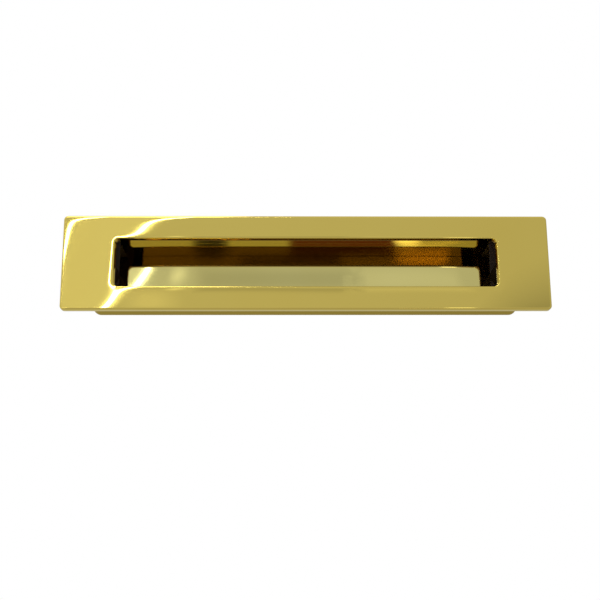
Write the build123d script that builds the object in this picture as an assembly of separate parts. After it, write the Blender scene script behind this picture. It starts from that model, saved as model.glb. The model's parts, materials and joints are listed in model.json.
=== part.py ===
from build123d import *
import os

# Recessed cabinet handle, in mm, as it sits in an upright cabinet front.
# X runs along the handle, -Y is the face the hand meets, +Y goes into the door and Z is up.
# The origin is the middle of the frame's back face, which lies on the door.

# Posts on the frame's back, tapped for M4 mounting screws
screw_spacing = 128.0
tapping_drill = 3.3
post_wall = 1.45
post_front_metal = 2.0
post_shoulder = 0.6
stake_overlap = 0.5
stake_height = 0.5
stake_round = 0.25

# Opening for the fingers, narrowest at the back and drafted towards the front, in degrees
opening_height = 15.4
opening_corner = 1.4
opening_draft = 6.0
post_setback = 0.65

# Box behind the opening, wider than it on all four sides
recess_depth = 15.9
side_undercut = 3.6
wall = 1.6
hollow_corner = 1.0
floor_round = 0.2
back_round = 0.8

# Frame, which overlaps the box and hides the cut-out in the door
frame_thickness = 2.25
end_overlap = 7.8
side_overlap = 2.55
frame_corner = 1.4
edge_round = 0.6
lip_round = 0.4

# Fit of the box on the frame
groove_depth = 0.4
rim_gap = 0.1
side_gap = 0.1
post_gap = 0.1
spigot_gap = 0.1

# Sizes that follow from those above
post_diameter = tapping_drill + 2 * post_wall
spigot_diameter = post_diameter - 2 * post_shoulder
stake_diameter = spigot_diameter + 2 * stake_overlap
opening_length = screw_spacing - post_diameter - 2 * post_setback
hollow_length = screw_spacing + post_diameter + 2 * (floor_round + post_gap)
hollow_height = opening_height + 2 * side_undercut
box_length = hollow_length + 2 * wall
box_height = hollow_height + 2 * wall
box_corner = hollow_corner + wall
frame_length = box_length + 2 * end_overlap
frame_height = box_height + 2 * side_overlap

# Places along Y, from the polished face to the ends of the posts
front_y = -frame_thickness
rim_y = rim_gap - groove_depth
floor_front_y = front_y + recess_depth
floor_back_y = floor_front_y + wall
post_end_y = floor_back_y + stake_height


def block(length, height, corner, start_y, end_y):
    """Rounded rectangle across X and Z, from start_y to end_y."""
    outline = Plane.XZ.offset(-start_y) * RectangleRounded(length, height, corner)
    return extrude(outline, amount=start_y - end_y)


def rods(diameter, start_y, end_y):
    """One round rod on the axis of each screw, from start_y to end_y."""
    rod = extrude(Plane.XZ.offset(-start_y) * Circle(diameter / 2), amount=start_y - end_y)
    return Part() + [Pos(side * screw_spacing / 2, 0, 0) * rod for side in (-1, 1)]


def edges_at(shape, y):
    """Edges that lie wholly in the plane at y."""
    return shape.edges().filter_by_position(Axis.Y, y, y)


def make_front_frame():
    # Polished plate: the opening's own edges are rounded on both sides, the outline's only in front
    mouth = Plane.XZ * RectangleRounded(opening_length, opening_height, opening_corner)
    opening = extrude(mouth, amount=frame_thickness, taper=-opening_draft)
    plate = block(frame_length, frame_height, frame_corner, front_y, 0) - opening
    plate = fillet(edges_at(plate, front_y), edge_round)
    lip = [edge for edge in edges_at(plate, 0) if abs(edge.center().Z) <= opening_height / 2
           and abs(edge.center().X) <= opening_length / 2]
    plate = fillet(lip, lip_round)

    # Groove in the back that takes the rim of the box
    groove = block(box_length + 2 * side_gap, box_height + 2 * side_gap, box_corner + side_gap,
                   -groove_depth, 0)
    groove -= block(hollow_length - 2 * side_gap, hollow_height - 2 * side_gap, hollow_corner - side_gap,
                    -groove_depth, 0)

    # Posts with a shoulder under the floor of the box and an end that is staked over behind it
    posts = rods(post_diameter, -groove_depth, floor_front_y)
    posts += rods(spigot_diameter, floor_front_y, floor_back_y)
    stakes = rods(stake_diameter, floor_back_y, post_end_y)
    posts += fillet(edges_at(stakes, post_end_y), stake_round)
    return plate - groove + posts - rods(tapping_drill, post_front_metal, post_end_y)


def make_rear_box():
    outside = block(box_length, box_height, box_corner, rim_y, floor_back_y)
    outside = fillet(edges_at(outside, floor_back_y), back_round)
    hollow = block(hollow_length, hollow_height, hollow_corner, rim_y, floor_front_y)
    hollow = fillet(edges_at(hollow, floor_front_y), floor_round)
    return outside - hollow - rods(spigot_diameter + 2 * spigot_gap, floor_front_y, floor_back_y)


os.makedirs("parts", exist_ok=True)
export_step(make_front_frame(), "parts/front_frame.step")
export_step(make_rear_box(), "parts/rear_box.step")
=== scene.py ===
import json
import math
import bmesh
import bpy
import numpy as np
from mathutils import Matrix, Vector


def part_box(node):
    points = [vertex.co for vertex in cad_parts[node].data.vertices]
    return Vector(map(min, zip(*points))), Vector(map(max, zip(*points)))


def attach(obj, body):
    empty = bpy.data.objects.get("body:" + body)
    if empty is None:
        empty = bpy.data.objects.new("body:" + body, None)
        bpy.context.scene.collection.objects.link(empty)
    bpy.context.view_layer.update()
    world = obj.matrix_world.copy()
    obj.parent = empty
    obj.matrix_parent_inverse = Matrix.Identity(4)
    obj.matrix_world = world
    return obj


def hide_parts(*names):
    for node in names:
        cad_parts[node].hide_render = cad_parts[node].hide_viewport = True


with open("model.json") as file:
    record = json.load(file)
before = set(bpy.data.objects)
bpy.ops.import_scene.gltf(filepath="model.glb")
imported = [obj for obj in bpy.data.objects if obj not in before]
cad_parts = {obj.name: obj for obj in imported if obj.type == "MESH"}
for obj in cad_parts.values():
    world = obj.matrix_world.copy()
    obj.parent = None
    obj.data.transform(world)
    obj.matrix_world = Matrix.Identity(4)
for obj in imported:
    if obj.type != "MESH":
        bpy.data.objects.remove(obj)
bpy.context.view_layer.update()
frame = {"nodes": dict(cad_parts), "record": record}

mm = 0.001
frameLow, frameHigh = (np.array(corner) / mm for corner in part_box("front_frame"))
boxLow, boxHigh = (np.array(corner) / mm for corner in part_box("rear_box"))
screwMount = next(m for m in frame["record"]["mounts"] if m["name"] == "screw_holes")
print("frame loaded:", sorted(frame["nodes"]))


# hex sRGB to linear colour with alpha
def linearColour(hexValue):
    srgb = np.array([int(hexValue[i:i + 2], 16) for i in (1, 3, 5)]) / 255
    linear = np.where(srgb <= 0.04045, srgb / 12.92, ((srgb + 0.055) / 1.055) ** 2.4)
    return (*linear.tolist(), 1.0)


# one node with its settings; an input is either a value or the socket that feeds it
def addNode(tree, kind, settings, inputs):
    node = tree.nodes.new(kind)
    for name, value in settings.items():
        setattr(node, name, value)
    for name, value in inputs.items():
        if isinstance(value, bpy.types.NodeSocket):
            tree.links.new(value, node.inputs[name])
        else:
            node.inputs[name].default_value = value
    return node


def newMaterial(name):
    material = bpy.data.materials.new(name)
    material.use_nodes = True
    material.node_tree.nodes.clear()
    return material, material.node_tree


# polished cast brass: a spotless gold mirror with slow haze and faint buffing lines along the handle; the
# back of the frame is only smoothed, so it is a dim bronze brown, finely pitted, and the wall of its opening
# is as dull, but its dark brown there is painted shade inside the opening; the lines and pits are drawn
# coarser than real ones, so that they show
polishedBrassLook = {
    "gold": "#F4DE76", "warm": "#F0D66B", "castLight": "#8E735B", "castDark": "#866B54",
    "hazeMm": 38.0, "hazeFrom": 0.3, "hazeFull": 0.7, "roughLow": 0.015, "roughHigh": 0.04,
    "buffLineMm": 0.5, "buffLengthMm": 30.0, "lineHeightMm": 0.0003,
    "pitMm": 0.8, "pitHeightMm": 0.0004, "castRough": 0.04, "wallFromMm": -1.5, "wallFullMm": -0.9,
    "backFromMm": -0.12, "backFullMm": -0.02, "openingXMm": 61.0, "openingZMm": 8.2,
}


def makePolishedBrass(look):
    material, tree = newMaterial("polished cast brass")
    where = addNode(tree, "ShaderNodeTexCoord", {}, {}).outputs["Object"]
    haze = addNode(tree, "ShaderNodeTexNoise", {}, {
        "Vector": where, "Scale": 1 / (look["hazeMm"] * mm), "Detail": 2.0}).outputs["Fac"]
    stretched = addNode(tree, "ShaderNodeMapping", {}, {
        "Vector": where, "Scale": (1 / (look["buffLengthMm"] * mm), 1 / (look["buffLineMm"] * mm),
                                   1 / (look["buffLineMm"] * mm))}).outputs["Vector"]
    lines = addNode(tree, "ShaderNodeTexNoise", {}, {
        "Vector": stretched, "Scale": 1.0, "Detail": 3.0}).outputs["Fac"]
    pits = addNode(tree, "ShaderNodeTexNoise", {}, {
        "Vector": where, "Scale": 1 / (look["pitMm"] * mm), "Detail": 4.0}).outputs["Fac"]
    place = addNode(tree, "ShaderNodeSeparateXYZ", {}, {"Vector": where})
    onBack = addNode(tree, "ShaderNodeMapRange", {}, {
        "Value": place.outputs["Y"], "From Min": look["backFromMm"] * mm,
        "From Max": look["backFullMm"] * mm}).outputs["Result"]
    # painted shade: the wall of the opening takes the dull cast brown, which stands in for the shade inside
    # the opening
    shadedWall = addNode(tree, "ShaderNodeMapRange", {}, {
        "Value": place.outputs["Y"], "From Min": look["wallFromMm"] * mm,
        "From Max": look["wallFullMm"] * mm}).outputs["Result"]
    for axis in ("X", "Z"):  # the wall is no farther out than the opening's lip
        reach = addNode(tree, "ShaderNodeMath", {"operation": "ABSOLUTE"}, {
            0: place.outputs[axis]}).outputs[0]
        within = addNode(tree, "ShaderNodeMath", {"operation": "LESS_THAN"}, {
            0: reach, 1: look["opening" + axis + "Mm"] * mm}).outputs[0]
        shadedWall = addNode(tree, "ShaderNodeMath", {"operation": "MULTIPLY"}, {
            0: shadedWall, 1: within}).outputs[0]
    castBackShadedWall = addNode(tree, "ShaderNodeMath", {"operation": "MAXIMUM"}, {0: onBack, 1: shadedWall}).outputs[0]
    gold = addNode(tree, "ShaderNodeMix", {"data_type": "RGBA"}, {
        "Factor": haze, "A": linearColour(look["gold"]), "B": linearColour(look["warm"])}).outputs[2]
    # the cast brown: the real skin on the frame's back, and painted shade on the opening's wall
    cast = addNode(tree, "ShaderNodeMix", {"data_type": "RGBA"}, {
        "Factor": pits, "A": linearColour(look["castDark"]),
        "B": linearColour(look["castLight"])}).outputs[2]
    colour = addNode(tree, "ShaderNodeMix", {"data_type": "RGBA"}, {
        "Factor": castBackShadedWall, "A": gold, "B": cast}).outputs[2]
    shine = addNode(tree, "ShaderNodeMapRange", {}, {
        "Value": haze, "From Min": look["hazeFrom"], "From Max": look["hazeFull"],
        "To Min": look["roughLow"], "To Max": look["roughHigh"]}).outputs["Result"]
    rough = addNode(tree, "ShaderNodeMix", {"data_type": "FLOAT"}, {
        "Factor": castBackShadedWall, "A": shine, "B": look["castRough"]}).outputs[0]
    lineBump = addNode(tree, "ShaderNodeBump", {}, {
        "Height": lines, "Strength": 1.0, "Distance": look["lineHeightMm"] * mm}).outputs["Normal"]
    bump = addNode(tree, "ShaderNodeBump", {}, {
        "Height": pits, "Strength": castBackShadedWall, "Distance": look["pitHeightMm"] * mm,
        "Normal": lineBump}).outputs["Normal"]
    shader = addNode(tree, "ShaderNodeBsdfPrincipled", {}, {
        "Base Color": colour, "Metallic": 1.0, "Roughness": rough, "Normal": bump})
    addNode(tree, "ShaderNodeOutputMaterial", {}, {"Surface": shader.outputs["BSDF"]})
    return material


# darkened cast brass: posts never polished, a dull as-cast surface whose near-black brown is painted shade,
# the shade at the recess ends where they stand; bright only in the cut threads and where the ends are staked
darkBrassLook = {
    "skin": "#261E1A", "skinWarm": "#31271F", "worked": "#D9BE72",
    "grainMm": 0.6, "grainHeightMm": 0.03, "grainStrength": 0.6, "skinRough": 0.75, "workedRough": 0.22,
    "workedFromMm": 15.15, "workedFullMm": 15.3, "threadMm": 2.2,
}


def makeDarkBrass(look):
    material, tree = newMaterial("darkened cast brass")
    where = addNode(tree, "ShaderNodeTexCoord", {}, {}).outputs["Object"]
    grain = addNode(tree, "ShaderNodeTexNoise", {}, {
        "Vector": where, "Scale": 1 / (look["grainMm"] * mm), "Detail": 3.0}).outputs["Fac"]
    place = addNode(tree, "ShaderNodeSeparateXYZ", {}, {"Vector": where})
    staked = addNode(tree, "ShaderNodeMapRange", {}, {
        "Value": place.outputs["Y"], "From Min": look["workedFromMm"] * mm,
        "From Max": look["workedFullMm"] * mm}).outputs["Result"]
    reach = addNode(tree, "ShaderNodeMath", {"operation": "ABSOLUTE"}, {0: place.outputs["X"]}).outputs[0]
    aside = addNode(tree, "ShaderNodeMath", {"operation": "SUBTRACT"}, {
        0: reach, 1: screwMount["dims"]["spacing_x_mm"] / 2 * mm}).outputs[0]
    fromAxis = addNode(tree, "ShaderNodeCombineXYZ", {}, {"X": aside, "Z": place.outputs["Z"]}).outputs[0]
    radius = addNode(tree, "ShaderNodeVectorMath", {"operation": "LENGTH"}, {0: fromAxis}).outputs["Value"]
    threaded = addNode(tree, "ShaderNodeMath", {"operation": "LESS_THAN"}, {
        0: radius, 1: look["threadMm"] * mm}).outputs[0]
    worked = addNode(tree, "ShaderNodeMath", {"operation": "MAXIMUM"}, {0: staked, 1: threaded}).outputs[0]
    # painted shade: the posts' colour is near black, so that they sink into the shade at the recess ends
    skin = addNode(tree, "ShaderNodeMix", {"data_type": "RGBA"}, {
        "Factor": grain, "A": linearColour(look["skin"]), "B": linearColour(look["skinWarm"])}).outputs[2]
    colour = addNode(tree, "ShaderNodeMix", {"data_type": "RGBA"}, {
        "Factor": worked, "A": skin, "B": linearColour(look["worked"])}).outputs[2]
    rough = addNode(tree, "ShaderNodeMix", {"data_type": "FLOAT"}, {
        "Factor": worked, "A": look["skinRough"], "B": look["workedRough"]}).outputs[0]
    bump = addNode(tree, "ShaderNodeBump", {}, {
        "Height": grain, "Strength": look["grainStrength"],
        "Distance": look["grainHeightMm"] * mm}).outputs["Normal"]
    shader = addNode(tree, "ShaderNodeBsdfPrincipled", {}, {
        "Base Color": colour, "Metallic": worked, "Roughness": rough, "Normal": bump,
        "Specular IOR Level": 0.0})  # the dull skin has no clear shine
    addNode(tree, "ShaderNodeOutputMaterial", {}, {"Surface": shader.outputs["BSDF"]})
    return material


# pale brass box: polished like a mirror inside, except for the dull ends behind the posts, whose dark colour
# is painted shade, and satin outside with sanding lines along its length, drawn coarser than real ones so
# that they show
paleBrassLook = {
    "pale": "#F6EC9C", "deep": "#E3D681", "satinLight": "#C9B568", "satinDark": "#A8934A",
    "patchMm": 40.0, "patchFrom": 0.3, "patchFull": 0.7, "roughLow": 0.02, "roughHigh": 0.05,
    "sandLineMm": 0.35, "sandLengthMm": 12.0, "sandHeightMm": 0.004,
    "satinRough": 0.32, "glancing": "#F6E7AA",
    "ends": "#4C403C", "endRough": 0.6, "endFromMm": 61.0, "endFullMm": 61.02, "skinMm": 1.0,
}


def makePaleBrass(look):
    material, tree = newMaterial("pale brass polished inside")
    where = addNode(tree, "ShaderNodeTexCoord", {}, {}).outputs["Object"]
    patches = addNode(tree, "ShaderNodeTexNoise", {}, {
        "Vector": where, "Scale": 1 / (look["patchMm"] * mm), "Detail": 2.0}).outputs["Fac"]
    stretched = addNode(tree, "ShaderNodeMapping", {}, {
        "Vector": where, "Scale": (1 / (look["sandLengthMm"] * mm), 1 / (look["sandLineMm"] * mm),
                                   1 / (look["sandLineMm"] * mm))}).outputs["Vector"]
    sanding = addNode(tree, "ShaderNodeTexNoise", {}, {
        "Vector": stretched, "Scale": 1.0, "Detail": 3.0}).outputs["Fac"]
    place = addNode(tree, "ShaderNodeSeparateXYZ", {}, {"Vector": where})
    outerFaces = []
    for axis, edge in zip("XYZ", boxHigh):  # how far out each way
        reach = addNode(tree, "ShaderNodeMath", {"operation": "ABSOLUTE"}, {
            0: place.outputs[axis]}).outputs[0]
        outerFaces.append(addNode(tree, "ShaderNodeMath", {"operation": "GREATER_THAN"}, {
            0: reach, 1: (edge - look["skinMm"]) * mm}).outputs[0])
    outerTwo = addNode(tree, "ShaderNodeMath", {"operation": "MAXIMUM"}, {
        0: outerFaces[0], 1: outerFaces[1]}).outputs[0]
    outside = addNode(tree, "ShaderNodeMath", {"operation": "MAXIMUM"}, {
        0: outerTwo, 1: outerFaces[2]}).outputs[0]
    along = addNode(tree, "ShaderNodeMath", {"operation": "ABSOLUTE"}, {0: place.outputs["X"]}).outputs[0]
    # painted shade: beyond endFromMm along the box the lining turns to the dark end colour, for the shade at
    # the recess ends
    atEnds = addNode(tree, "ShaderNodeMapRange", {}, {
        "Value": along, "From Min": look["endFromMm"] * mm,
        "From Max": look["endFullMm"] * mm}).outputs["Result"]
    bright = addNode(tree, "ShaderNodeMix", {"data_type": "RGBA"}, {
        "Factor": patches, "A": linearColour(look["pale"]), "B": linearColour(look["deep"])}).outputs[2]
    lining = addNode(tree, "ShaderNodeMix", {"data_type": "RGBA"}, {
        "Factor": atEnds, "A": bright, "B": linearColour(look["ends"])}).outputs[2]
    satin = addNode(tree, "ShaderNodeMix", {"data_type": "RGBA"}, {
        "Factor": sanding, "A": linearColour(look["satinDark"]),
        "B": linearColour(look["satinLight"])}).outputs[2]
    colour = addNode(tree, "ShaderNodeMix", {"data_type": "RGBA"}, {
        "Factor": outside, "A": lining, "B": satin}).outputs[2]
    shine = addNode(tree, "ShaderNodeMapRange", {}, {
        "Value": patches, "From Min": look["patchFrom"], "From Max": look["patchFull"],
        "To Min": look["roughLow"], "To Max": look["roughHigh"]}).outputs["Result"]
    liningRough = addNode(tree, "ShaderNodeMix", {"data_type": "FLOAT"}, {
        "Factor": atEnds, "A": shine, "B": look["endRough"]}).outputs[0]
    rough = addNode(tree, "ShaderNodeMix", {"data_type": "FLOAT"}, {
        "Factor": outside, "A": liningRough, "B": look["satinRough"]}).outputs[0]
    bump = addNode(tree, "ShaderNodeBump", {}, {
        "Height": sanding, "Strength": outside, "Distance": look["sandHeightMm"] * mm}).outputs["Normal"]
    awayFromEnds = addNode(tree, "ShaderNodeMath", {"operation": "SUBTRACT"}, {0: 1.0, 1: atEnds}).outputs[0]
    metal = addNode(tree, "ShaderNodeMath", {"operation": "MAXIMUM"}, {0: awayFromEnds, 1: outside}).outputs[0]
    # the dull ends have no clear shine, and their dark colour is painted shade; the tint is the metal's
    # colour at a glancing look
    shader = addNode(tree, "ShaderNodeBsdfPrincipled", {}, {
        "Base Color": colour, "Metallic": metal, "Roughness": rough, "Normal": bump,
        "Specular IOR Level": 0.0, "Specular Tint": linearColour(look["glancing"])})
    addNode(tree, "ShaderNodeOutputMaterial", {}, {"Surface": shader.outputs["BSDF"]})
    return material


polishedBrass = makePolishedBrass(polishedBrassLook)
darkBrass = makeDarkBrass(darkBrassLook)
paleBrass = makePaleBrass(paleBrassLook)
print("materials made:", [m.name for m in bpy.data.materials])


# once round a rounded rectangle: a point is its centre weight times (half size less corner radius)
# plus its direction times the corner radius; four quarter turns with a straight side after each
def outlineRound(longSteps, shortSteps, cornerSteps):
    turn = np.linspace(0, np.pi / 2, cornerSteps + 1)
    weightX, weightZ, dirX, dirZ = [], [], [], []
    corners = ((1, 1), (-1, 1), (-1, -1), (1, -1))
    for quarter, (signX, signZ) in enumerate(corners):
        angle = turn + quarter * np.pi / 2
        steps = longSteps if quarter % 2 == 0 else shortSteps
        along = np.linspace(0, 1, steps + 1)[1:-1]
        nextX, nextZ = corners[(quarter + 1) % 4]
        weightX += [np.full(cornerSteps + 1, signX), signX + (nextX - signX) * along]
        weightZ += [np.full(cornerSteps + 1, signZ), signZ + (nextZ - signZ) * along]
        dirX += [np.cos(angle), np.full(steps - 1, np.cos(angle[-1]))]
        dirZ += [np.sin(angle), np.full(steps - 1, np.sin(angle[-1]))]
    return tuple(np.concatenate(part) for part in (weightX, weightZ, dirX, dirZ))


# a stack of rounded rectangles, one per row of (half length, half height, corner radius, y)
def rectangleRows(rows, outline):
    halfX, halfZ, corner, y = (column[:, None] for column in np.array(rows, float).T)
    weightX, weightZ, dirX, dirZ = outline
    x = (halfX - corner) * weightX + corner * dirX
    z = (halfZ - corner) * weightZ + corner * dirZ
    return x, np.broadcast_to(y, x.shape).copy(), z


# what every mesh shares: points closer than joinMm become one, edges shorter than flatMm are dissolved, and
# edges that turn by more than sharpDeg are shaded sharp
meshLimits = {"joinMm": 1e-4, "flatMm": 1e-5, "sharpDeg": 32}


# quads over a grid that is closed across its columns, and along its rows where ring is true; the sign of
# the volume turns the faces outwards, and points that fall together are joined
def pieceFromGrid(name, x, y, z, ring, material, node):
    points = np.stack([x, y, z], axis=-1).reshape(-1, 3) * mm
    index = np.arange(x.size).reshape(x.shape)
    first, second = (index, np.roll(index, -1, 0)) if ring else (index[:-1], index[1:])
    quads = np.stack([first, second, np.roll(second, -1, 1), np.roll(first, -1, 1)], -1).reshape(-1, 4)
    a, b, c, d = (points[quads[:, i]] for i in range(4))
    volume = (a * np.cross(b, c)).sum() + (a * np.cross(c, d)).sum()
    if volume < 0:
        quads = quads[:, ::-1]
    mesh = bpy.data.meshes.new(name)
    mesh.from_pydata(points.tolist(), [], quads.tolist())
    work = bmesh.new()
    work.from_mesh(mesh)
    bmesh.ops.remove_doubles(work, verts=work.verts, dist=meshLimits["joinMm"] * mm)
    bmesh.ops.dissolve_degenerate(work, edges=work.edges, dist=meshLimits["flatMm"] * mm)
    work.to_mesh(mesh)
    work.free()
    mesh.polygons.foreach_set("use_smooth", np.ones(len(mesh.polygons), bool))
    mesh.set_sharp_from_angle(angle=math.radians(meshLimits["sharpDeg"]))
    mesh.materials.append(material)
    piece = bpy.data.objects.new(name, mesh)
    bpy.context.scene.collection.objects.link(piece)
    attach(piece, "root")
    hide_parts(node)
    print("piece made:", name, len(mesh.polygons), "faces")
    return piece


# front frame: a profile of rounded rectangles that goes up the opening's wall, over the polished face, down
# the outer edge and back over the rear face with the groove for the box's rim
frameShape = {
    "openingLength": 120.5, "openingHeight": 15.4, "openingCorner": 1.4, "openingDraftDeg": 6.0,
    "outerCorner": 1.4, "edgeRound": 0.6, "rimRound": 0.35, "lipRound": 0.4, "backBreak": 0.15,
    "grooveDepth": 0.4, "grooveOuter": (69.1, 13.0, 2.7), "grooveInner": (67.3, 11.2, 0.9),
    "topDrops": ((0.04, 1.5), (0.06, 0.5)), "lowDrops": ((0.012, 1.5),), "endDrops": ((0.012, 1.5),),
    "rimDrops": ((0.03, 0.7),),
    "waveHeight": 0.006, "waveLengths": (61.0, 23.0), "wavePhase": 0.6, "support": 0.02,
    "longSteps": 150, "shortSteps": 40, "cornerSteps": 10,
    "faceSteps": 40, "roundSteps": 9, "wallRows": 5, "sideRows": 5,
}


def makeFrame(shape):
    inner = np.array([shape["openingLength"] / 2, shape["openingHeight"] / 2, shape["openingCorner"]])
    outer = np.array([frameHigh[0], frameHigh[2], shape["outerCorner"]])
    front, edge, lip, rim = frameLow[1], shape["edgeRound"], shape["lipRound"], shape["backBreak"]
    turn = np.linspace(0, np.pi / 2, shape["roundSteps"])
    draft = math.radians(shape["openingDraftDeg"])
    rimRound = shape["rimRound"]
    wallEnd = front + rimRound * (1 - math.sin(draft))
    wall = [(*(inner + math.tan(draft) * (-lip - y)), y)
            for y in np.linspace(-lip, wallEnd, shape["wallRows"])[:-1]]
    mouth = inner + math.tan(draft) * (-lip - wallEnd) - rimRound * (1 - math.cos(draft))
    innerEdge = [(*(mouth + rimRound * (1 - math.cos(t))), front + rimRound * (1 - math.sin(t)))
                 for t in np.linspace(draft, np.pi / 2, shape["roundSteps"])]
    blend = 0.5 - 0.5 * np.cos(np.pi * np.linspace(0, 1, shape["faceSteps"] + 1))[1:-1]
    face = [(*((mouth + rimRound) * (1 - w) + (outer - edge) * w), front) for w in blend]
    outerEdge = [(*(outer - edge * (1 - math.cos(t))), front + edge * (1 - math.sin(t)))
                 for t in turn[::-1]]
    side = [(*outer, y) for y in np.linspace(front + edge, -rim, shape["sideRows"])[1:]]
    backEdge = [(*(outer - rim * (1 - math.cos(t))), -rim + rim * math.sin(t)) for t in turn[1::2]]
    groove = [(*shape["grooveOuter"], 0), (*shape["grooveOuter"], -shape["grooveDepth"]),
              (*shape["grooveInner"], -shape["grooveDepth"]), (*shape["grooveInner"], 0)]
    lipBack = [(*(inner + lip + shape["support"]), 0)]
    lipEdge = [(*(inner + lip * (1 - math.cos(t))), -lip + lip * math.sin(t)) for t in turn[:0:-1]]
    rows = wall + innerEdge + face + outerEdge + side + backEdge + groove + lipBack + lipEdge
    outline = outlineRound(shape["longSteps"], shape["shortSteps"], shape["cornerSteps"])
    x, y, z = rectangleRows(rows, outline)
    # the face falls away towards its edges as buffing leaves it, by a size times e to the minus (distance
    # over reach), and has slow waves, a sine along the handle times a cosine across it
    beyondX = np.maximum(np.abs(x) - (inner[0] - inner[2]), 0)
    beyondZ = np.maximum(np.abs(z) - (inner[1] - inner[2]), 0)
    fromRim = np.maximum(np.hypot(beyondX, beyondZ) - inner[2], 0)
    drop = np.zeros_like(x)
    for drops, distance in ((shape["topDrops"], outer[1] - z), (shape["lowDrops"], outer[1] + z),
                            (shape["endDrops"], outer[0] - np.abs(x)), (shape["rimDrops"], fromRim)):
        for size, reach in drops:
            drop += size * np.exp(-distance / reach)
    lengthX, lengthZ = shape["waveLengths"]
    wave = np.sin(2 * np.pi * x / lengthX + shape["wavePhase"]) * np.cos(2 * np.pi * z / lengthZ)
    drop += shape["waveHeight"] * (1 + wave)
    faceRows = np.arange(len(wall), len(wall) + len(innerEdge) + len(face) + len(outerEdge))
    y[faceRows] += drop[faceRows]
    pieceFromGrid("polished_frame", x, y, z, True, polishedBrass, "front_frame")


makeFrame(frameShape)


# posts: a turned profile of (radius, y) carried round each screw's axis; in the thread the radius rises and
# falls as a triangle wave of (y over pitch plus angle over a full turn)
postShape = {
    "radius": 3.1, "rootRadius": 3.35, "rootY": -0.2, "flareY": 0.02, "flareEndY": 0.4,
    "shoulderY": 13.65, "spigotRadius": 2.5, "stakeRadius": 3.0, "stakeRound": 0.25,
    "threadMajor": 2.0, "pitch": 0.7, "mouth": 2.1, "leadPitches": 0.5,
    "threadStartY": 3.0, "holeEndY": 2.0, "drillPoint": 0.4,
    "roundSteps": 48, "stepsPerPitch": 8, "stakeSteps": 5,
}


def makePosts(shape):
    end, hole = frameHigh[1], screwMount["dims"]["hole_r_mm"]
    turn = np.linspace(0, np.pi / 2, shape["stakeSteps"])
    stake = shape["stakeRound"]
    outside = [(0, shape["rootY"]), (shape["rootRadius"], shape["rootY"]),
               (shape["rootRadius"], shape["flareY"]), (shape["radius"], shape["flareEndY"]),
               (shape["radius"], shape["shoulderY"]), (shape["spigotRadius"], shape["shoulderY"]),
               (shape["spigotRadius"], boxHigh[1]), (shape["stakeRadius"], boxHigh[1])]
    outside += [(shape["stakeRadius"] - stake * (1 - math.cos(t)), end - stake * (1 - math.sin(t)))
                for t in turn]
    mouth = [(shape["mouth"], end), (hole, end - (shape["mouth"] - hole))]
    threadLength = end - (shape["mouth"] - hole) - shape["threadStartY"]
    threadRows = int(threadLength / shape["pitch"] * shape["stepsPerPitch"])
    threadY = np.linspace(end - (shape["mouth"] - hole), shape["threadStartY"], threadRows + 2)[1:]
    bottom = [(hole, shape["holeEndY"] + shape["drillPoint"]), (0, shape["holeEndY"])]
    profile = np.array(outside + mouth + [(hole, y) for y in threadY] + bottom)
    angle = np.linspace(0, 2 * np.pi, shape["roundSteps"], endpoint=False)
    radius = np.repeat(profile[:, :1], shape["roundSteps"], 1)
    y = np.repeat(profile[:, 1:], shape["roundSteps"], 1)
    thread = slice(len(outside) + len(mouth), len(outside) + len(mouth) + len(threadY))
    phase = (y[thread] / shape["pitch"] + angle / (2 * np.pi)) % 1
    fade = np.clip((y[thread] - shape["threadStartY"]) / shape["pitch"], 0, 1)
    fade *= np.clip((y[thread].max() - y[thread]) / (shape["leadPitches"] * shape["pitch"]), 0, 1)
    radius[thread] += (shape["threadMajor"] - hole) * fade * (1 - np.abs(2 * phase - 1))
    for name, side in (("left_post", -1), ("right_post", 1)):
        axisX = side * screwMount["dims"]["spacing_x_mm"] / 2
        pieceFromGrid(name, axisX + radius * np.cos(angle), y, radius * np.sin(angle), False,
                      darkBrass, "front_frame")


makePosts(postShape)


# rear box: rounded rectangles from the middle of its back, round the outside to the rim and down the inside
# to the middle of the floor
boxShape = {
    "outerCorner": 2.6, "backRound": 0.8, "rimBreak": 0.1,
    "halfLength": 67.4, "halfHeight": 11.3, "innerCorner": 1.0,
    "floorRound": 0.01, "floorY": 13.65, "support": 0.005, "holeRadius": 2.6, "holeSteps": 48,
    "endSlope": 0.0082, "endTwist": 0.0008, "slopeFrom": 48.0, "slopeBlend": 3.0,
    "longSteps": 150, "shortSteps": 20, "cornerSteps": 8, "roundSteps": 7, "floorSteps": 14,
    "outsideRows": 8, "insideRows": 16,
}


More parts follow.
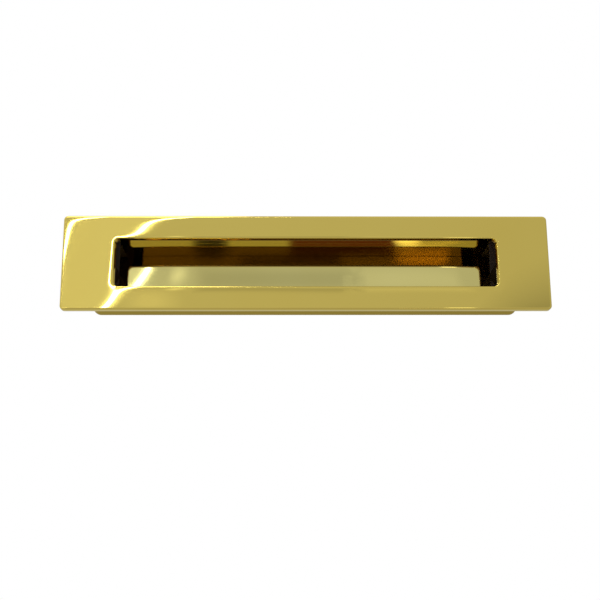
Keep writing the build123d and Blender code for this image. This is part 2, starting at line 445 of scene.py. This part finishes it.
def makeBox(shape):
    outer = np.array([boxHigh[0], boxHigh[2], shape["outerCorner"]])
    rim, back, rounding = boxLow[1], boxHigh[1], shape["backRound"]
    turn = np.linspace(0, np.pi / 2, shape["roundSteps"])
    inward = np.linspace(0, 1, shape["floorSteps"] + 1)
    shrunk = outer - rounding
    middle = np.array([outer[0] - outer[1], 0, 0])
    backFace = [(*(middle * (1 - w) + shrunk * w), back) for w in inward[:-1]]
    backEdge = [(*(outer - rounding * (1 - math.cos(t))), back - rounding * (1 - math.sin(t)))
                for t in turn[::-1]]
    outside = [(*outer, y)
               for y in np.linspace(back - rounding, rim + shape["rimBreak"], shape["outsideRows"])[1:]]
    rimOuter = [(*(outer - shape["rimBreak"]), rim)]
    inner = np.array([shape["halfLength"], shape["halfHeight"], shape["innerCorner"]])
    floorY, floorRound = shape["floorY"], shape["floorRound"]
    wallEnd = floorY - floorRound - shape["support"]
    inside = [(*inner, y) for y in np.linspace(rim, wallEnd, shape["insideRows"])]
    floorEdge = [(*(inner - floorRound * (1 - math.cos(t))), floorY - floorRound * (1 - math.sin(t)))
                 for t in turn]
    flat = inner - floorRound - shape["support"]
    middle = np.array([inner[0] - inner[1], 0, 0])
    floorFace = [(*(flat * (1 - w) + middle * w), floorY) for w in inward]
    rows = backFace + backEdge + outside + rimOuter + inside + floorEdge + floorFace
    outline = outlineRound(shape["longSteps"], shape["shortSteps"], shape["cornerSteps"])
    x, y, z = rectangleRows(rows, outline)
    # the floor sinks a little towards the posts: flat in the middle, then a slope after a soft bend, more at
    # the top; half the sum of (past) and the root of (past squared plus blend squared), times the slope
    past = np.abs(x) - shape["slopeFrom"]
    sink = (shape["endSlope"] + shape["endTwist"] * z) * (np.hypot(past, shape["slopeBlend"]) + past) / 2
    floorRows = np.arange(len(rows) - len(floorFace) - len(floorEdge), len(rows))
    y[floorRows] += sink[floorRows]
    piece = pieceFromGrid("recess_box", x, y, z, False, paleBrass, "rear_box")
    # round holes through the floor, which take the ends of the posts
    work = bmesh.new()
    radius = shape["holeRadius"] * mm
    depth = 2 * (back - floorY) * mm  # well through the floor
    halfStep = Matrix.Rotation(math.pi / shape["holeSteps"], 4, "Z")  # keeps corners off the mesh's edges
    alongY = Matrix.Rotation(math.pi / 2, 4, "X")
    for side in (-1, 1):
        centre = (side * screwMount["dims"]["spacing_x_mm"] / 2 * mm, (floorY + back) / 2 * mm, 0)
        bmesh.ops.create_cone(work, cap_ends=True, segments=shape["holeSteps"],
                              radius1=radius, radius2=radius, depth=depth,
                              matrix=Matrix.Translation(centre) @ alongY @ halfStep)
    holes = bpy.data.meshes.new("holes")
    work.to_mesh(holes)
    work.free()
    cutter = bpy.data.objects.new("holes", holes)
    bpy.context.scene.collection.objects.link(cutter)
    cut = piece.modifiers.new("holes", "BOOLEAN")
    cut.operation = "DIFFERENCE"
    cut.solver = "EXACT"
    cut.object = cutter
    done = bpy.data.meshes.new_from_object(piece.evaluated_get(bpy.context.evaluated_depsgraph_get()))
    piece.modifiers.clear()
    piece.data = done
    bpy.data.objects.remove(cutter)


makeBox(boxShape)


# camera: below the handle and looking up, so that the roof of the recess shows
cameraPlace = {"distanceMm": 348.0, "lookUpDeg": 17.2, "leftMm": 8.2, "pixelsPerMm": 3.176,
               "imagePixels": 600, "handlePixel": (306.4, 262.0), "clipStartMm": 10.0}


def makeCamera(place):
    handle = Vector((0, frameLow[1] * mm, 0))
    reach, rise = place["distanceMm"] * mm, math.radians(place["lookUpDeg"])
    camera = bpy.data.objects.new("camera", bpy.data.cameras.new("camera"))
    offset = Vector((-place["leftMm"] * mm, -reach * math.cos(rise), -reach * math.sin(rise)))
    camera.location = handle + offset
    right = Vector((1, 0, 0))
    up = right.cross((handle - camera.location).normalized()).normalized()
    half = place["imagePixels"] / 2
    # the camera aims beside the handle, so that the handle lands on its pixel
    aim = handle - right * ((place["handlePixel"][0] - half) / place["pixelsPerMm"] * mm)
    aim -= up * ((half - place["handlePixel"][1]) / place["pixelsPerMm"] * mm)
    ahead = (aim - camera.location).normalized()
    right = (right - ahead * right.dot(ahead)).normalized()  # keeps the handle level in the picture
    axes = Matrix((right, right.cross(ahead), -ahead)).transposed()
    camera.rotation_mode = "QUATERNION"
    camera.rotation_quaternion = axes.to_quaternion()
    focalPixels = place["pixelsPerMm"] * place["distanceMm"]
    camera.data.lens = camera.data.sensor_width * focalPixels / place["imagePixels"]
    camera.data.clip_start = place["clipStartMm"] * mm
    bpy.context.scene.collection.objects.link(camera)
    bpy.context.scene.camera = camera


makeCamera(cameraPlace)
bpy.context.scene.view_settings.view_transform = "Standard"


# soft room: pale all round for reflections, plain white behind the handle
roomLook = {"below": 0.44, "level": 0.52, "front": 0.53, "frontAt": 0.70, "above": 0.66,
            "leftGain": 1.22, "rightGain": 0.84}


def makeRoom(look):
    world = bpy.data.worlds.new("room")
    bpy.context.scene.world = world
    world.use_nodes = True
    tree = world.node_tree
    tree.nodes.clear()
    path = addNode(tree, "ShaderNodeLightPath", {}, {}).outputs["Is Camera Ray"]
    way = addNode(tree, "ShaderNodeTexCoord", {}, {}).outputs["Generated"]
    parts = addNode(tree, "ShaderNodeSeparateXYZ", {}, {"Vector": way})
    half = addNode(tree, "ShaderNodeMapRange", {}, {
        "Value": parts.outputs["Z"], "From Min": -1.0, "From Max": 1.0}).outputs["Result"]
    ramp = addNode(tree, "ShaderNodeValToRGB", {}, {"Fac": half})
    stops = [(0.0, look["below"]), (0.5, look["level"]),
             (look["frontAt"], look["front"]), (1.0, look["above"])]
    while len(ramp.color_ramp.elements) < len(stops):
        ramp.color_ramp.elements.new(0.5)
    for element, (place, grey) in zip(ramp.color_ramp.elements, stops):
        element.position = place
        element.color = (grey, grey, grey, 1)
    gain = addNode(tree, "ShaderNodeMapRange", {}, {
        "Value": parts.outputs["X"], "From Min": -1.0, "From Max": 1.0,
        "To Min": look["leftGain"], "To Max": look["rightGain"]}).outputs["Result"]
    soft = addNode(tree, "ShaderNodeBackground", {}, {"Color": ramp.outputs["Color"], "Strength": gain})
    white = addNode(tree, "ShaderNodeBackground", {}, {"Color": (1, 1, 1, 1)})
    seen = addNode(tree, "ShaderNodeMixShader", {}, {0: path, 1: soft.outputs[0], 2: white.outputs[0]})
    addNode(tree, "ShaderNodeOutputWorld", {}, {"Surface": seen.outputs[0]})


makeRoom(roomLook)


# panels round the handle that only its polished metal sees: place (x, z) on an upright plane in front of it
# at the distance given, size, width of the soft border, lean, round or not, colour and brightness; all in
# metres and degrees
panels = [
    {"name": "warm_table", "away": 2.30, "place": (0.0, -1.05), "size": (2.6, 1.30),
     "soft": 0.005, "lean": 0, "round": False, "colour": "#EDE2DC", "glow": 0.47},
    {"name": "dark_shape", "away": 2.20, "place": (-0.179, -0.713), "size": (0.104, 0.078),
     "soft": 0.018, "lean": 0, "round": True, "colour": "#4A3020", "glow": 0.12},
    {"name": "brown_shape", "away": 2.21, "place": (0.147, -0.738), "size": (0.284, 0.100),
     "soft": 0.018, "lean": 0, "round": False, "colour": "#8A4A3C", "glow": 0.40},
    {"name": "warm_lamp", "away": 2.18, "place": (0.300, -0.722), "size": (0.084, 0.050),
     "soft": 0.023, "lean": 0, "round": True, "colour": "#F2E6FF", "glow": 2.75},
    {"name": "lamp_shade", "away": 2.20, "place": (0.385, -0.684), "size": (0.240, 0.054),
     "soft": 0.025, "lean": 0, "round": True, "colour": "#FFE0B0", "glow": 2.75},
    {"name": "dark_gap", "away": 2.20, "place": (0.015, -0.678), "size": (0.264, 0.040),
     "soft": 0.014, "lean": 0, "round": False, "colour": "#8A7060", "glow": 0.25},
    {"name": "bright_post", "away": 2.20, "place": (0.407, -0.05), "size": (0.080, 0.50),
     "soft": 0.015, "lean": 0, "round": False, "colour": "#FFFFFF", "glow": 2.0},
    {"name": "left_window", "away": 2.40, "place": (-0.492, 0.740), "size": (0.172, 2.4),
     "soft": 0.005, "lean": -18, "round": False, "colour": "#FFFFFF", "glow": 0.73},
    {"name": "right_edge_glow", "away": 2.32, "place": (-0.388, 0.715), "size": (0.050, 2.4),
     "soft": 0.018, "lean": -20.5, "round": False, "colour": "#FFFFFF", "glow": 1.2},
    {"name": "right_edge", "away": 2.30, "place": (-0.388, 0.709), "size": (0.017, 2.4),
     "soft": 0.005, "lean": -20.5, "round": False, "colour": "#FFFFFF", "glow": 13.0},
    {"name": "left_edge", "away": 2.30, "place": (-0.577, 0.709), "size": (0.018, 2.4),
     "soft": 0.005, "lean": -15, "round": False, "colour": "#FFFFFF", "glow": 13.0},
    {"name": "low_gleam", "away": 2.31, "place": (-0.330, 0.600), "size": (0.18, 0.18),
     "soft": 0.07, "lean": -20, "round": True, "colour": "#FFFFFF", "glow": 0.68},
    {"name": "floor_gleam", "away": 2.31, "place": (-0.268, 0.690), "size": (0.060, 0.074),
     "soft": 0.028, "lean": -35, "round": True, "colour": "#FFFFFF", "glow": 0.95},
    {"name": "floor_shade", "away": 2.33, "place": (-0.01, 0.685), "size": (0.44, 0.090),
     "soft": 0.035, "lean": 0, "round": False, "colour": "#FFFFFF", "glow": 0.43},
    {"name": "floor_light", "away": 2.33, "place": (0.32, 0.685), "size": (0.34, 0.090),
     "soft": 0.035, "lean": 0, "round": False, "colour": "#FFFFFF", "glow": 0.60},
    {"name": "dim_corner", "away": 2.31, "place": (0.68, 0.58), "size": (0.42, 0.30),
     "soft": 0.14, "lean": 15, "round": True, "colour": "#FFFFFF", "glow": 0.36},
    {"name": "left_ceiling", "away": 0.90, "place": (-0.34, 2.10), "size": (0.50, 2.70),
     "soft": 0.005, "lean": 0, "round": False, "colour": "#FFFFFF", "glow": 4.0},
    {"name": "side_card", "away": 2.30, "place": (-2.40, -1.30), "size": (1.6, 2.6),
     "soft": 0.6, "lean": 15, "round": False, "colour": "#FFFFFF", "glow": 0.95},
]
roundPanelSides = 32


# a flat card with a ring of border faces round it, over which its glow fades out
def makePanel(panel):
    lean = math.radians(panel["lean"])
    sides = roundPanelSides if panel["round"] else 4
    angle = (np.arange(sides) + 0.5) * 2 * np.pi / sides  # half a step on, so that four sides lie level
    corners = np.column_stack([np.cos(angle), np.sin(angle)])
    if not panel["round"]:
        corners = np.sign(corners)
    half = np.array(panel["size"]) / 2
    flat = np.concatenate([corners * (half - panel["soft"]), corners * half])
    turn = np.array([[math.cos(lean), math.sin(lean)], [-math.sin(lean), math.cos(lean)]])
    placed = flat @ turn + np.array(panel["place"])
    points = np.column_stack([placed[:, 0], np.full(2 * sides, -panel["away"]), placed[:, 1]])
    around = [(i, (i + 1) % sides) for i in range(sides)]
    border = [(i, j, sides + j, sides + i) for i, j in around]
    mesh = bpy.data.meshes.new(panel["name"])
    mesh.from_pydata(points.tolist(), [], [tuple(range(sides)), *border])
    solid = mesh.attributes.new("solid", "FLOAT", "POINT")
    solid.data.foreach_set("value", np.repeat([1.0, 0.0], sides))
    material, tree = newMaterial(panel["name"])
    share = addNode(tree, "ShaderNodeAttribute", {"attribute_name": "solid"}, {}).outputs["Fac"]
    clear = addNode(tree, "ShaderNodeBsdfTransparent", {}, {})
    glow = addNode(tree, "ShaderNodeEmission", {}, {
        "Color": linearColour(panel["colour"]), "Strength": panel["glow"]})
    seen = addNode(tree, "ShaderNodeMixShader", {}, {0: share, 1: clear.outputs[0], 2: glow.outputs[0]})
    addNode(tree, "ShaderNodeOutputMaterial", {}, {"Surface": seen.outputs[0]})
    mesh.materials.append(material)
    card = bpy.data.objects.new(panel["name"], mesh)
    bpy.context.scene.collection.objects.link(card)
    card.visible_camera = False
    card.visible_diffuse = False
    card.visible_shadow = False


for panel in panels:
    makePanel(panel)
print("room made:", len(panels), "panels")


# pale floor, below the camera
floorLook = {"level": -0.20, "reach": 3.0, "colour": "#F6F5F2"}


def makeFloor(look):
    reach, level = look["reach"], look["level"]
    mesh = bpy.data.meshes.new("floor")
    corners = [(-reach, -reach, level), (reach, -reach, level),
               (reach, reach, level), (-reach, reach, level)]
    mesh.from_pydata(corners, [], [(0, 1, 2, 3)])
    floor = bpy.data.objects.new("floor", mesh)
    material, tree = newMaterial("pale floor")
    shader = addNode(tree, "ShaderNodeBsdfDiffuse", {}, {"Color": linearColour(look["colour"])})
    addNode(tree, "ShaderNodeOutputMaterial", {}, {"Surface": shader.outputs[0]})
    mesh.materials.append(material)
    floor.visible_glossy = False
    bpy.context.scene.collection.objects.link(floor)


makeFloor(floorLook)


# soft light from above, for the floor; the metal mirrors the room alone
overheadLook = {"strength": 1.45, "spreadDeg": 120.0}


def makeOverhead(look):
    light = bpy.data.lights.new("overhead", "SUN")
    light.energy = look["strength"]
    light.angle = math.radians(look["spreadDeg"])
    overhead = bpy.data.objects.new("overhead", light)
    overhead.visible_glossy = False
    bpy.context.scene.collection.objects.link(overhead)


makeOverhead(overheadLook)
